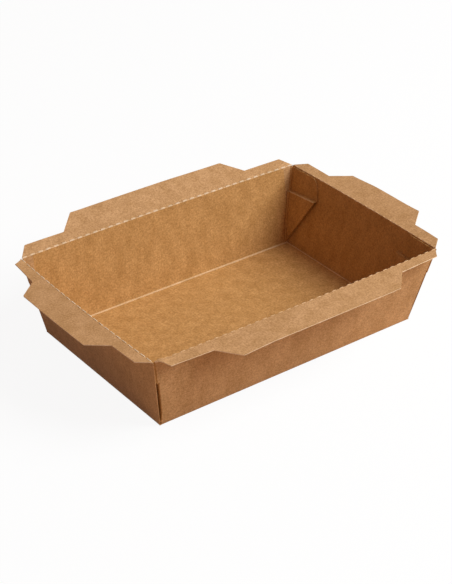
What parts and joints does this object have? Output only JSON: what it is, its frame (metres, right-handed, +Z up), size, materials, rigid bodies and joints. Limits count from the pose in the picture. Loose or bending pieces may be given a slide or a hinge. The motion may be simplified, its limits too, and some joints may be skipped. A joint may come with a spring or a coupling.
{
  "type": "paper food tray",
  "caption": "Folded kraft board food tray with a flat base, sloping walls, turned-out rim flanges along perforated creases, and a web folded flat inside each corner.",
  "frame": {"origin": "centre of the underside of the base, on the table", "axes": "+X along the tray's length to the right end wall, +Y to the back wall, +Z up"},
  "size_m": [0.2189, 0.1545, 0.0523],
  "materials": {
    "kraft": "unprinted brown kraft board, matt"
  },
  "bodies": {
    "root": {"tray": "kraft"}
  },
  "joints": []
}
